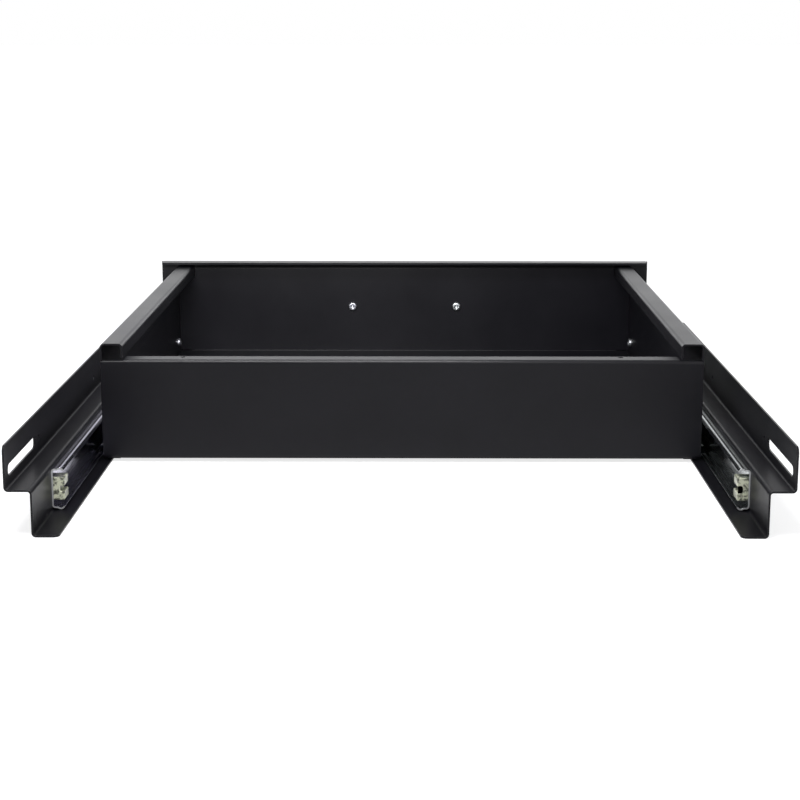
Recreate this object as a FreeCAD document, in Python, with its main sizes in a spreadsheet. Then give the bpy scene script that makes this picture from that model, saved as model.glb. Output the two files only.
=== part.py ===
import FreeCAD, Part
import math
import os
import re

import Sketcher
from FreeCAD import Placement, Rotation, Vector

# Sliding drawer for a 19 inch rack, two units high.
#
# Frame: X runs across the rack, Y from the front panel (-Y) to the rear, Z up.  The origin is the
# middle of the whole object's footprint, level with the feet of the two brackets.  The drawer is
# drawn in the pose of rest, pulled out by pulled_out from its closed place.
#
# Every driving size is a cell of the sheet below, in millimetres or degrees, and so is every
# count.  DERIVED holds the sizes that follow from them, and the functions below use all by name.

SHEET = "Sizes"

SIZES = (
    # Sheet metal
    ("sheet_thick", 1.2, "sheet of the brackets and the box"),
    ("panel_thick", 2.0, "sheet of the front panel"),
    ("bend_radius", 1.5, "inside radius of every bend"),
    ("corner_radius", 4.0, "rounded corners of free flanges"),
    ("notch_gap", 0.5, "gap between neighbouring flanges at a notch"),
    # Brackets
    ("web_span", 441.0, "outside of one web to the outside of the other"),
    ("bracket_long", 460.0, "length of a bracket"),
    ("bracket_high", 56.0, "foot to the top of the flange"),
    ("step_height", 28.0, "foot to the underside of the step"),
    ("step_wide", 15.6, "web to flange, outside faces"),
    ("foot_wide", 16.4, "width of the foot"),
    ("slot_wide", 7.0, "mounting slot, across"),
    ("slot_long", 77.7, "mounting slot, end to end"),
    ("slot_inset", 9.1, "end of the bracket to the end of the slot"),
    ("slot_drop", 17.2, "top of the flange to the line of the slots and holes"),
    ("pilot_wide", 4.0, "small flange holes, diameter"),
    ("pilot_near", 98.2, "rear end of the bracket to the first small hole"),
    ("pilot_far", 301.0, "rear end of the bracket to the second small hole"),
    # Ball slides
    ("slide_high", 27.0, "height of a slide"),
    ("slide_deep", 9.7, "thickness of a slide, web to box"),
    ("slide_axis", 15.2, "foot to the middle of the slide"),
    ("channel_gap", 2.5, "front end of the bracket to the channel"),
    ("slide_sheet", 1.0, "sheet of the channel and the runner"),
    ("slide_bend", 1.4, "radius of the rolled corners, middle of the sheet"),
    ("runner_inset", 28.0, "outside of the rear wall to the runner"),
    ("runner_gap", 2.0, "back of the panel to the runner"),
    ("ball_radius", 1.6, "radius of a ball"),
    ("ball_play", 0.08, "ball to raceway"),
    ("ball_out", 5.4, "web to the middle of a ball"),
    ("ball_pitch", 12.0, "ball to ball"),
    ("channel_wrap", 50.0, "half angle of the channel's raceway"),
    ("runner_wrap", 40.0, "half angle of the runner's raceway"),
    ("channel_lip", 0.5, "straight end of the channel's lip"),
    ("runner_lip", 0.2, "straight end of the runner's lip"),
    ("cage_sheet", 0.5, "sheet of the ball cage"),
    ("cage_out", 2.55, "web to the middle of the cage's sheet"),
    ("cage_rim", 0.3, "ball to the edge of the cage"),
    ("cage_bend", 0.7, "radius of the cage's corners, middle of the sheet"),
    ("cage_long", 96.0, "length of the ball cage"),
    ("stop_long", 12.0, "length of the end stop"),
    ("stop_high", 14.6, "height of the end stop"),
    ("stop_deep", 7.2, "depth of the end stop"),
    ("stop_notch", 3.6, "notch across the end stop"),
    ("stop_notch_deep", 3.0, "depth of that notch"),
    ("stop_round", 1.0, "rounded edges of the end stop"),
    ("stop_gap", 0.5, "end stop to the runner when the drawer is closed"),
    ("travel", 285.0, "closed drawer to fully open"),
    ("pulled_out", 147.5, "closed drawer to the pose of rest"),
    ("closed_gap", 2.0, "brackets to the panel when the drawer is closed"),
    # Box of the drawer
    ("box_deep", 420.0, "outside of the rear wall to the back of the panel"),
    ("box_lift", 2.4, "foot to the underside of the box"),
    ("side_high", 82.0, "height of the side walls with their rails"),
    ("rail_wide", 15.6, "width of the rail along the top of a side wall"),
    ("rail_lip", 10.0, "turned down lip of the rail"),
    ("floor_flange", 12.0, "flanges under the floor"),
    ("rear_high", 70.5, "height of the rear wall"),
    ("rear_flange", 15.0, "flange along the top of the rear wall"),
    ("rear_hole_wide", 3.6, "holes in that flange, diameter"),
    ("rear_hole_span", 306.6, "hole to hole in that flange"),
    ("rear_hole_inset", 11.8, "outside of the rear wall to those holes"),
    ("front_high", 79.0, "height of the front wall"),
    # Front panel and handle
    ("panel_wide", 448.0, "width of the front panel"),
    ("panel_high", 88.0, "height of the front panel"),
    ("panel_lift", 0.3, "foot to the lower edge of the panel"),
    ("panel_flange", 15.0, "flange along the top of the panel, behind its back face"),
    ("flange_inset", 2.0, "end of the panel to the end of that flange"),
    ("handle_height", 46.0, "foot to the line of the handle"),
    ("handle_span", 96.0, "screw to screw"),
    ("handle_reach", 32.0, "face of the panel to the front of the handle"),
    ("handle_bar", 9.0, "diameter of the handle's bar"),
    ("handle_bend", 12.0, "radius of the handle's corners, middle of the bar"),
    ("collar_wide", 14.0, "diameter of the handle's collars"),
    ("collar_high", 2.5, "height of the handle's collars"),
    # Fasteners
    ("screw_wide", 4.0, "diameter of every screw"),
    ("screw_play", 0.15, "screw to the wall of its hole, on the radius"),
    ("pan_wide", 8.0, "diameter of a pan head"),
    ("pan_high", 2.4, "height of a pan head"),
    ("low_wide", 7.6, "diameter of a low head"),
    ("low_high", 0.8, "height of a low head"),
    ("head_round", 0.6, "rounded rim of a low head"),
    ("pan_round", 1.6, "rounded rim of a pan head"),
    ("handle_screw_long", 11.0, "length of a handle screw under its head"),
    ("channel_screw_long", 6.0, "length of a channel screw under its head"),
    ("channel_screw_inset", 20.0, "end of the channel to its outer screws"),
    ("runner_screw_long", 4.6, "length of a runner screw under its head"),
    ("runner_screw_inset", 17.5, "end of the runner to its outer screws"),
    ("nut_flats", 7.0, "across the flats of a nut"),
    ("nut_high", 2.9, "height of a nut"),
)

COUNTS = (
    ("balls_in_row", 8, "balls in each row"),
    ("screws_in_row", 3, "screws along each slide member"),
)

DERIVED = {
    "web_outer": "web_span / 2",
    "web_inner": "web_outer - sheet_thick",
    "flange_outer": "web_outer + step_wide",
    "box_half": "web_inner - slide_deep",
    "box_inner": "box_half - sheet_thick",
    "rail_inner": "box_half - rail_wide",
    "bend_outer": "bend_radius + sheet_thick",
    "slot_level": "bracket_high - slot_drop",
    "slot_radius": "slot_wide / 2",
    "closed_rear": "bracket_long + closed_gap - box_deep",
    "drawer_rear": "closed_rear + pulled_out",
    "panel_face": "box_deep + panel_thick",
    "rear_end": "(drawer_rear + panel_face + handle_reach) / 2",
    "runner_rear": "drawer_rear + runner_inset",
    "runner_long": "box_deep - runner_inset - runner_gap",
    "slide_inset": "closed_rear + runner_inset - stop_gap - stop_long",
    "channel_long": "bracket_long - channel_gap - slide_inset",
    "channel_front": "slide_inset + channel_long",
    "open_runner_rear": "runner_rear - pulled_out + travel",
    "cage_middle": "(open_runner_rear + channel_front) / 2 - (travel - pulled_out) / 2",
    "cage_rear": "cage_middle - cage_long / 2",
    "channel_screw_step": "(channel_long - 2 * channel_screw_inset) / (screws_in_row - 1)",
    "runner_screw_step": "(runner_long - 2 * runner_screw_inset) / (screws_in_row - 1)",
    "handle_back": "handle_reach - handle_bar / 2",
    "handle_half": "handle_span / 2",
    "screw_radius": "screw_wide / 2",
    "hole_radius": "screw_radius + screw_play",
    "half_flats": "nut_flats / 2",
    "half_points": "half_flats / cos(30)",
    "quarter_points": "half_points / 2",
}

FUNCTIONS = ("cos",)

# The two axes of a sketch on each origin plane.
PLANES = {"XY_Plane": ("x", "y"), "XZ_Plane": ("x", "z"), "YZ_Plane": ("y", "z")}

SIDES = (("left", -1), ("right", 1))

NEAR = 1e-4

# A quarter circle's middle, as a share of its radius in from the corner's two sides.
QUARTER_MIDDLE = 1 - math.sqrt(0.5)

doc = FreeCAD.newDocument("RackDrawer")
sheet = doc.addObject("Spreadsheet::Sheet", SHEET)
for row, (alias, size, meaning) in enumerate(SIZES + COUNTS, 1):
    sheet.set("A%d" % row, alias)
    sheet.set("B%d" % row, str(size))
    sheet.set("C%d" % row, meaning)
    sheet.setAlias("B%d" % row, alias)
doc.recompute()

subparts = []


# Sizes by name

def sized(text):
    """The text as an expression on the sheet, with every derived size written out."""
    def swap(match):
        word = match.group(0)
        if word in FUNCTIONS:
            return word
        if word in DERIVED:
            return "(" + sized(DERIVED[word]) + ")"
        return SHEET + "." + word
    return re.sub(r"[a-z]\w*", swap, text)


def value(text):
    """The size that the text works out to."""
    return float(sheet.evalExpression(sized(text)))


def bind(item, name, text):
    """Tie a property to the sheet."""
    item.setExpression(name, sized(text))


def times(sign, text):
    return "%d * (%s)" % (sign, text)


# Bodies and sketches

def place(item, label, across="0", along="0", up="0"):
    """Name a sub-part and tie its Placement; along counts from the brackets' rear end forward."""
    item.Label = label
    bind(item, "Placement.Base.x", across)
    bind(item, "Placement.Base.y", "rear_end - (%s)" % along)
    bind(item, "Placement.Base.z", up)
    subparts.append(item)
    return item


def place_fixed(item, label, across="0", along="0", up="0"):
    """The same for a shape that this file sets itself."""
    item.Label = label
    item.Placement = Placement(
        Vector(value(across), value("rear_end - (%s)" % along), value(up)), Rotation())
    subparts.append(item)
    return item


def new_body(label, **where):
    body = doc.addObject("PartDesign::Body", label)
    return place(body, label, **where)


def new_sketch(body, plane, offset="0"):
    """A sketch on one of the body's origin planes, moved along its normal by offset."""
    sketch = body.newObject("Sketcher::SketchObject", "Sketch")
    support = next(item for item in body.Origin.OriginFeatures if item.Role == plane)
    sketch.AttachmentSupport = (support, [""])
    sketch.MapMode = "FlatFace"
    bind(sketch, ".AttachmentOffset.Base.z", offset)
    return sketch


def fix(sketch, kind, *where, size):
    """Add a constraint and tie it to the sheet."""
    number = sketch.addConstraint(Sketcher.Constraint(kind, *where, value(size)))
    bind(sketch, "Constraints[%d]" % number, size)


def pin(sketch, geometry, point, spot):
    """Hold a point of the sketch at a spot."""
    fix(sketch, "DistanceX", geometry, point, size=spot[0])
    fix(sketch, "DistanceY", geometry, point, size=spot[1])


def vector(spot):
    return Vector(value(spot[0]), value(spot[1]), 0)


def draw_outline(sketch, spots):
    """A closed outline of straight edges through the spots."""
    first = sketch.GeometryCount
    count = len(spots)
    for number, spot in enumerate(spots):
        following = spots[(number + 1) % count]
        sketch.addGeometry(Part.LineSegment(vector(spot), vector(following)))
    for number, spot in enumerate(spots):
        following = first + (number + 1) % count
        sketch.addConstraint(Sketcher.Constraint("Coincident", first + number, 2, following, 1))
        pin(sketch, first + number, 1, spot)


def box_spots(low_u, high_u, low_v, high_v):
    return [(low_u, low_v), (high_u, low_v), (high_u, high_v), (low_u, high_v)]


def join(sketch, one, other):
    """Tie the ends of two edges that lie at the same place."""
    for one_point in (1, 2):
        for other_point in (1, 2):
            gap = sketch.getPoint(one, one_point) - sketch.getPoint(other, other_point)
            if gap.Length < NEAR:
                sketch.addConstraint(
                    Sketcher.Constraint("Coincident", one, one_point, other, other_point))
                return


def draw_rounded(sketch, spots, rounds):
    """A closed outline with square corners; rounds gives the radius of those that are rounded."""
    points = [vector(spot) for spot in spots]
    edges = []
    reached = None
    for number, (spot, point) in enumerate(zip(spots, points)):
        before = (points[number - 1] - point).normalize()
        after = (points[(number + 1) % len(points)] - point).normalize()
        radius = rounds.get(number)
        leave = point
        if radius:
            size = value(radius)
            arrive = point + before * size
            leave = point + after * size
            middle = point + (before + after) * size * QUARTER_MIDDLE
            edges.append((arrive, middle, leave, radius))
        else:
            edges.append((point, None, leave, None))
    made = []
    for number, (arrive, middle, leave, radius) in enumerate(edges):
        if radius:
            arc = sketch.addGeometry(Part.Arc(arrive, middle, leave))
            fix(sketch, "Radius", arc, size=radius)
            made.append(arc)
        following = edges[(number + 1) % len(edges)][0]
        made.append(sketch.addGeometry(Part.LineSegment(leave, following)))
    for one, other in zip(made, made[1:] + made[:1]):
        join(sketch, one, other)


def draw_circle(sketch, centre, radius):
    number = sketch.addGeometry(Part.Circle(vector(centre), Vector(0, 0, 1), value(radius)))
    pin(sketch, number, 3, centre)
    fix(sketch, "Radius", number, size=radius)


def draw_slot(sketch, low, high, radius):
    """A slot along the sketch's first axis, from one end's centre to the other's."""
    axis = Vector(0, 0, 1)
    start, end = vector(low), vector(high)
    size = value(radius)
    rise = Vector(0, size, 0)
    right, left = -math.pi / 2, math.pi / 2
    near = sketch.addGeometry(Part.ArcOfCircle(Part.Circle(start, axis, size), left, left + math.pi))
    far = sketch.addGeometry(Part.ArcOfCircle(Part.Circle(end, axis, size), right, right + math.pi))
    below = sketch.addGeometry(Part.LineSegment(start - rise, end - rise))
    above = sketch.addGeometry(Part.LineSegment(end + rise, start + rise))
    for one, one_point, other, other_point in (
            (near, 2, below, 1), (below, 2, far, 1), (far, 2, above, 1), (above, 2, near, 1)):
        sketch.addConstraint(Sketcher.Constraint("Tangent", one, one_point, other, other_point))
    pin(sketch, near, 3, low)
    pin(sketch, far, 3, high)
    fix(sketch, "Radius", near, size=radius)


# Features

def pad(body, sketch, length, symmetric=False, reverse=False):
    feature = body.newObject("PartDesign::Pad", "Pad")
    feature.Profile = sketch
    feature.SideType = "Symmetric" if symmetric else "One side"
    feature.Reversed = reverse
    bind(feature, "Length", length)
    doc.recompute()
    return feature


def cut(body, sketch, depth=None, symmetric=True, reverse=False):
    """Pocket the sketch, right through unless a depth is given."""
    before = body.Tip.Shape.Volume
    feature = body.newObject("PartDesign::Pocket", "Pocket")
    feature.Profile = sketch
    feature.SideType = "Symmetric" if symmetric else "One side"
    feature.Reversed = reverse
    if depth:
        bind(feature, "Length", depth)
    else:
        feature.Type = "ThroughAll"
    doc.recompute()
    if not feature.Shape.Volume < before - NEAR:
        raise RuntimeError(body.Label + ": a pocket cuts nothing")
    return feature


def edge_names(shape, plane, spots):
    """Names of the straight edges that cross the plane squarely at one of the spots."""
    first, second = PLANES[plane]
    names = []
    for number, edge in enumerate(shape.Edges, 1):
        ends = [vertex.Point for vertex in edge.Vertexes]
        if len(ends) != 2:
            continue
        start, end = [(getattr(spot, first), getattr(spot, second)) for spot in ends]
        if math.dist(start, end) > NEAR:
            continue
        for u, v in spots:
            if math.dist(start, (value(u), value(v))) < NEAR:
                names.append("Edge%d" % number)
    return names


def round_edges(body, plane, spots, radius):
    """Round the edges that cross the plane at the spots."""
    base = body.Tip
    names = edge_names(base.Shape, plane, spots)
    if not names:
        raise RuntimeError(body.Label + ": no edge to round")
    fillet = body.newObject("PartDesign::Fillet", "Fillet")
    fillet.Base = (base, names)
    bind(fillet, "Radius", radius)
    doc.recompute()
    return fillet


def repeat(body, axis, length, count, reverse=False):
    """Repeat the body's last feature along one of its axes."""
    original = body.Tip
    pattern = body.newObject("PartDesign::LinearPattern", "LinearPattern")
    pattern.Originals = [original]
    support = next(item for item in body.Origin.OriginFeatures if item.Role == axis)
    pattern.Direction = (support, [""])
    pattern.Reversed = reverse
    bind(pattern, "Length", length)
    bind(pattern, "Occurrences", count)
    body.Tip = pattern
    doc.recompute()
    return pattern


# Folded sheet

def sheet_section(path, side, thick):
    """Section of a sheet with square bends, one of whose faces follows the path.

    side is 1 where the sheet lies to the left of the path and -1 where it lies to the right.
    Gives the closed outline, the inside corners and the outside corners of the bends.
    """
    points = [(value(u), value(v)) for u, v in path]
    runs = []
    for (u, v), (next_u, next_v) in zip(points, points[1:]):
        length = math.hypot(next_u - u, next_v - v)
        runs.append((round((next_u - u) / length), round((next_v - v) / length)))
    back = []
    for number, (u, v) in enumerate(path):
        beside = runs[max(number - 1, 0):number + 1]
        shift_u = sum(-side * run[1] for run in beside)
        shift_v = sum(side * run[0] for run in beside)
        back.append(("%s + %d * %s" % (u, shift_u, thick), "%s + %d * %s" % (v, shift_v, thick)))
    inside = []
    outside = []
    for number in range(1, len(path) - 1):
        run, following = runs[number - 1], runs[number]
        turn = side * (run[0] * following[1] - run[1] * following[0])
        inside.append(back[number] if turn > 0 else path[number])
        outside.append(path[number] if turn > 0 else back[number])
    return list(path) + back[::-1], inside, outside


def folded_sheet(body, plane, path, side, thick, length, symmetric=False):
    """Pad the section of a folded sheet and round its bends."""
    outline, inside, outside = sheet_section(path, side, thick)
    sketch = new_sketch(body, plane)
    draw_outline(sketch, outline)
    pad(body, sketch, length, symmetric)
    round_edges(body, plane, inside, "bend_radius")
    round_edges(body, plane, outside, "bend_radius + " + thick)


def mirrored(path, sign):
    return [(times(sign, u), v) for u, v in path]


# Brackets

def make_bracket(name, sign):
    """Foot, web that carries the slide, step outwards, and the flange that bolts to the rack."""
    body = new_body("bracket_" + name)
    path = [
        ("web_outer - foot_wide", "0"),
        ("web_outer", "0"),
        ("web_outer", "step_height"),
        ("flange_outer", "step_height"),
        ("flange_outer", "bracket_high"),
    ]
    folded_sheet(body, "XZ_Plane", mirrored(path, sign), sign, "sheet_thick", "bracket_long")
    ends = ("0", "-bracket_long")
    foot = times(sign, "web_outer - foot_wide")
    round_edges(body, "XY_Plane", [(foot, end) for end in ends], "corner_radius")
    round_edges(body, "YZ_Plane", [(end, "bracket_high") for end in ends], "corner_radius")

    flange = new_sketch(body, "YZ_Plane")
    near = "slot_inset + slot_radius"
    far = "slot_inset + slot_long - slot_radius"
    draw_slot(flange, ("-(%s)" % far, "slot_level"), ("-(%s)" % near, "slot_level"), "slot_radius")
    draw_slot(flange, ("-(bracket_long - (%s))" % near, "slot_level"),
              ("-(bracket_long - (%s))" % far, "slot_level"), "slot_radius")
    for hole in ("-pilot_near", "-pilot_far"):
        draw_circle(flange, (hole, "slot_level"), "pilot_wide / 2")
    cut(body, flange)

    web = new_sketch(body, "YZ_Plane")
    for number in range(int(value("screws_in_row"))):
        along = "-(slide_inset + channel_screw_inset + %d * channel_screw_step)" % number
        draw_circle(web, (along, "slide_axis"), "hole_radius")
    cut(body, web)


# Ball slides.  A section is drawn from the web towards the box: u is the distance from the web, v
# the height over the middle of the slide, and it is swept forward from the rear end of its piece.

BALL_UP = "slide_high / 2 - slide_sheet - ball_play - ball_radius"


def slide_spot(sign, u, v):
    return Vector(sign * (value("web_inner") - u), 0, v)


def rolled_sheet(half, thick, length):
    """Sweep a rolled sheet; half holds the edges of its section's upper half."""
    lower = [edge.mirror(Vector(), Vector(0, 0, 1)) for edge in half]
    wire = Part.Wire(Part.__sortEdges__(lower + half))
    face = wire.makeOffset2D(value(thick) / 2, 0, True, False, False)
    return face.extrude(Vector(0, -value(length), 0))


def rolled_corner(sign, plate, top, bend, way):
    """Edges that climb the plate and turn at the top, away from the web where way is 1."""
    turn = bend * QUARTER_MIDDLE
    foot = slide_spot(sign, plate, 0)
    start = slide_spot(sign, plate, top - bend)
    middle = slide_spot(sign, plate + way * turn, top - turn)
    end = slide_spot(sign, plate + way * bend, top)
    return [Part.LineSegment(foot, start).toShape(), Part.Arc(start, middle, end).toShape()]


def slide_member(sign, way, plate, wrap, lip, length):
    """The channel (way 1, raceways outside the balls) or the runner (way -1, inside them)."""
    reach = value("ball_radius + ball_play + slide_sheet / 2")
    angle = math.radians(value(wrap))
    ball_out, ball_up = value("ball_out"), value(BALL_UP)
    side = way * reach * math.sin(angle)
    neck = ball_up + way * reach * math.cos(angle)
    tail = value(lip)
    edges = rolled_corner(sign, value(plate), neck, value("slide_bend"), way)
    turned = edges[-1].Vertexes[-1].Point
    start = slide_spot(sign, ball_out - side, neck)
    crown = slide_spot(sign, ball_out, ball_up + way * reach)
    end = slide_spot(sign, ball_out + side, neck)
    tip = slide_spot(sign, ball_out + side + way * tail * math.cos(angle),
                     neck - way * tail * math.sin(angle))
    edges.append(Part.LineSegment(turned, start).toShape())
    edges.append(Part.Arc(start, crown, end).toShape())
    edges.append(Part.LineSegment(end, tip).toShape())
    return rolled_sheet(edges, "slide_sheet", length)


def bored(shape, spots, radius, depth):
    """Cut round holes through a slide member along X, centred on the spots."""
    for spot in spots:
        start = spot - Vector(depth, 0, 0)
        shape = shape.cut(Part.makeCylinder(radius, 2 * depth, start, Vector(1, 0, 0)))
    return shape


def screw_row(inset, step):
    """Distances of a row of screws from the rear end of their slide member."""
    return [value("%s + %d * %s" % (inset, number, step))
            for number in range(int(value("screws_in_row")))]


def make_channel(name, sign):
    """Fixed member of a slide, its open side towards the box."""
    shape = slide_member(sign, 1, "slide_sheet / 2", "channel_wrap", "channel_lip", "channel_long")
    spots = [slide_spot(sign, 0, 0) - Vector(0, along, 0)
             for along in screw_row("channel_screw_inset", "channel_screw_step")]
    item = doc.addObject("Part::Feature", "slide_channel_" + name)
    item.Shape = bored(shape, spots, value("hole_radius"), value("slide_deep"))
    place_fixed(item, "slide_channel_" + name, along="slide_inset", up="slide_axis")


def make_runner(name, sign):
    """Moving member of a slide, screwed to the side wall of the box."""
    shape = slide_member(sign, -1, "slide_deep - slide_sheet / 2", "runner_wrap", "runner_lip",
                         "runner_long")
    spots = [slide_spot(sign, value("slide_deep"), 0) - Vector(0, along, 0)
             for along in screw_row("runner_screw_inset", "runner_screw_step")]
    item = doc.addObject("Part::Feature", "slide_runner_" + name)
    item.Shape = bored(shape, spots, value("hole_radius"), value("slide_deep"))
    place_fixed(item, "slide_runner_" + name, along="runner_rear", up="slide_axis")


def ball_rows():
    """Distances of the balls from the rear end of their cage."""
    count = int(value("balls_in_row"))
    first = (value("cage_long") - (count - 1) * value("ball_pitch")) / 2
    return [first + number * value("ball_pitch") for number in range(count)]


def make_cage(name, sign):
    """Strip with two flanges that hold the balls at their spacing."""
    ball_up = value(BALL_UP)
    edges = rolled_corner(sign, value("cage_out"), ball_up, value("cage_bend"), 1)
    rim = value("ball_out + ball_radius + cage_rim - cage_sheet / 2")
    turned = edges[-1].Vertexes[-1].Point
    edges.append(Part.LineSegment(turned, slide_spot(sign, rim, ball_up)).toShape())
    shape = rolled_sheet(edges, "cage_sheet", "cage_long")
    deep = value("cage_sheet")
    for along in ball_rows():
        for level in (-ball_up, ball_up):
            spot = slide_spot(sign, value("ball_out"), level - deep) - Vector(0, along, 0)
            shape = shape.cut(Part.makeCylinder(value("ball_radius"), 2 * deep, spot))
    item = doc.addObject("Part::Feature", "ball_cage_" + name)
    item.Shape = shape
    place_fixed(item, "ball_cage_" + name, along="cage_rear", up="slide_axis")


def make_balls(name, sign):
    """Two rows of balls, one above and one below the runner."""
    balls = []
    first = "(cage_long - (balls_in_row - 1) * ball_pitch) / 2"
    for number in range(int(value("balls_in_row"))):
        for level in (BALL_UP, "-(%s)" % BALL_UP):
            ball = doc.addObject("Part::Sphere", "Ball")
            bind(ball, "Radius", "ball_radius")
            bind(ball, "Placement.Base.x", times(sign, "web_inner - ball_out"))
            bind(ball, "Placement.Base.y", "-(%s + %d * ball_pitch)" % (first, number))
            bind(ball, "Placement.Base.z", level)
            balls.append(ball)
    group = doc.addObject("Part::Compound", "slide_balls_" + name)
    group.Links = balls
    place(group, "slide_balls_" + name, along="cage_rear", up="slide_axis")


def make_stop(name, sign):
    """Plastic block in the rear end of the channel, notched across its open side."""
    body = new_body("end_stop_" + name, across=times(sign, "web_inner - slide_sheet"),
                    along="slide_inset", up="slide_axis")
    outline = [
        ("0", "-stop_high / 2"),
        ("0", "stop_high / 2"),
        ("-stop_deep", "stop_high / 2"),
        ("-stop_deep", "stop_notch / 2"),
        ("stop_notch_deep - stop_deep", "stop_notch / 2"),
        ("stop_notch_deep - stop_deep", "-stop_notch / 2"),
        ("-stop_deep", "-stop_notch / 2"),
        ("-stop_deep", "-stop_high / 2"),
    ]
    sketch = new_sketch(body, "XZ_Plane")
    draw_rounded(sketch, mirrored(outline, sign), {2: "stop_round", 7: "stop_round"})
    pad(body, sketch, "stop_long")


# Box of the drawer.  Its own zero is the outside of the rear wall, at the underside of the box.

def make_side_wall(name, sign):
    """Side sheet with a flange under the floor and a rail along the top, turned in and down."""
    body = new_body("side_wall_" + name, along="drawer_rear", up="box_lift")
    path = [
        ("box_half - floor_flange", "0"),
        ("box_half", "0"),
        ("box_half", "side_high"),
        ("rail_inner", "side_high"),
        ("rail_inner", "side_high - rail_lip"),
    ]
    folded_sheet(body, "XZ_Plane", mirrored(path, sign), sign, "sheet_thick", "box_deep")
    seat = new_sketch(body, "YZ_Plane")
    draw_outline(seat, box_spots("-sheet_thick", "bend_outer", "-bend_outer", "rear_high"))
    cut(body, seat)
    screws = new_sketch(body, "YZ_Plane")
    for number in range(int(value("screws_in_row"))):
        along = "-(runner_inset + runner_screw_inset + %d * runner_screw_step)" % number
        draw_circle(screws, (along, "slide_axis - box_lift"), "hole_radius")
    cut(body, screws)


def notch_corners(body, plane_offset, reverse, high, ends, corner_low, corner_up):
    """Cut the flanges of an end wall back where the side walls' own flanges pass."""
    sketch = new_sketch(body, "XZ_Plane", plane_offset)
    for sign in (-1, 1):
        low = box_spots("box_half - floor_flange - notch_gap", ends, "-bend_outer", corner_low)
        top = box_spots("rail_inner - notch_gap", ends, corner_up, high + " + bend_outer")
        draw_outline(sketch, mirrored(low, sign))
        draw_outline(sketch, mirrored(top, sign))
    cut(body, sketch, symmetric=False, reverse=reverse)


def make_rear_wall():
    """Rear sheet across the full width of the box, lower than the rails."""
    body = new_body("rear_wall", along="drawer_rear", up="box_lift")
    path = [
        ("-floor_flange", "0"),
        ("0", "0"),
        ("0", "rear_high"),
        ("-rear_flange", "rear_high"),
    ]
    folded_sheet(body, "YZ_Plane", path, 1, "sheet_thick", "2 * box_half", symmetric=True)
    notch_corners(body, "sheet_thick", True, "rear_high", "box_half + bend_outer",
                  "bend_outer", "rear_high - bend_outer")
    holes = new_sketch(body, "XY_Plane", "rear_high")
    for sign in (-1, 1):
        draw_circle(holes, (times(sign, "rear_hole_span / 2"), "-rear_hole_inset"),
                    "rear_hole_wide / 2")
    cut(body, holes, "bend_outer", symmetric=False)


def make_front_wall():
    """Front sheet between the side walls, against the back of the panel."""
    body = new_body("front_wall", along="drawer_rear", up="box_lift")
    path = [
        ("floor_flange - box_deep", "0"),
        ("-box_deep", "0"),
        ("-box_deep", "front_high"),
    ]
    folded_sheet(body, "YZ_Plane", path, -1, "sheet_thick", "2 * box_inner", symmetric=True)
    notch_corners(body, "0", True, "front_high", "box_half",
                  "bend_outer", "side_high - rail_lip - notch_gap")
    cut_handle_holes(body, "box_lift")


def cut_handle_holes(body, low):
    """Holes for the screws of the handle; low is the height of the body's own zero."""
    holes = new_sketch(body, "XZ_Plane")
    for sign in (-1, 1):
        draw_circle(holes, (times(sign, "handle_half"), "handle_height - (%s)" % low),
                    "hole_radius")
    cut(body, holes)


def make_floor():
    """Flat sheet on the flanges of the four walls."""
    body = new_body("drawer_floor", along="drawer_rear", up="box_lift + sheet_thick")
    sketch = new_sketch(body, "XY_Plane")
    half = "box_inner - bend_radius"
    draw_outline(sketch, box_spots("-(%s)" % half, half, "bend_outer - box_deep", "-bend_outer"))
    pad(body, sketch, "sheet_thick")


def make_panel():
    """Front panel, its top edge folded back over the box."""
    body = new_body("front_panel", along="drawer_rear", up="panel_lift")
    path = [
        ("panel_flange - box_deep", "panel_high"),
        ("-panel_face", "panel_high"),
        ("-panel_face", "0"),
    ]
    folded_sheet(body, "YZ_Plane", path, 1, "panel_thick", "panel_wide", symmetric=True)
    sketch = new_sketch(body, "XY_Plane")
    end = box_spots("panel_wide / 2 - flange_inset", "panel_wide / 2 + notch_gap",
                    "-box_deep", "panel_flange - box_deep + notch_gap")
    for sign in (-1, 1):
        draw_outline(sketch, mirrored(end, sign))
    cut(body, sketch)
    cut_handle_holes(body, "panel_lift")


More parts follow.
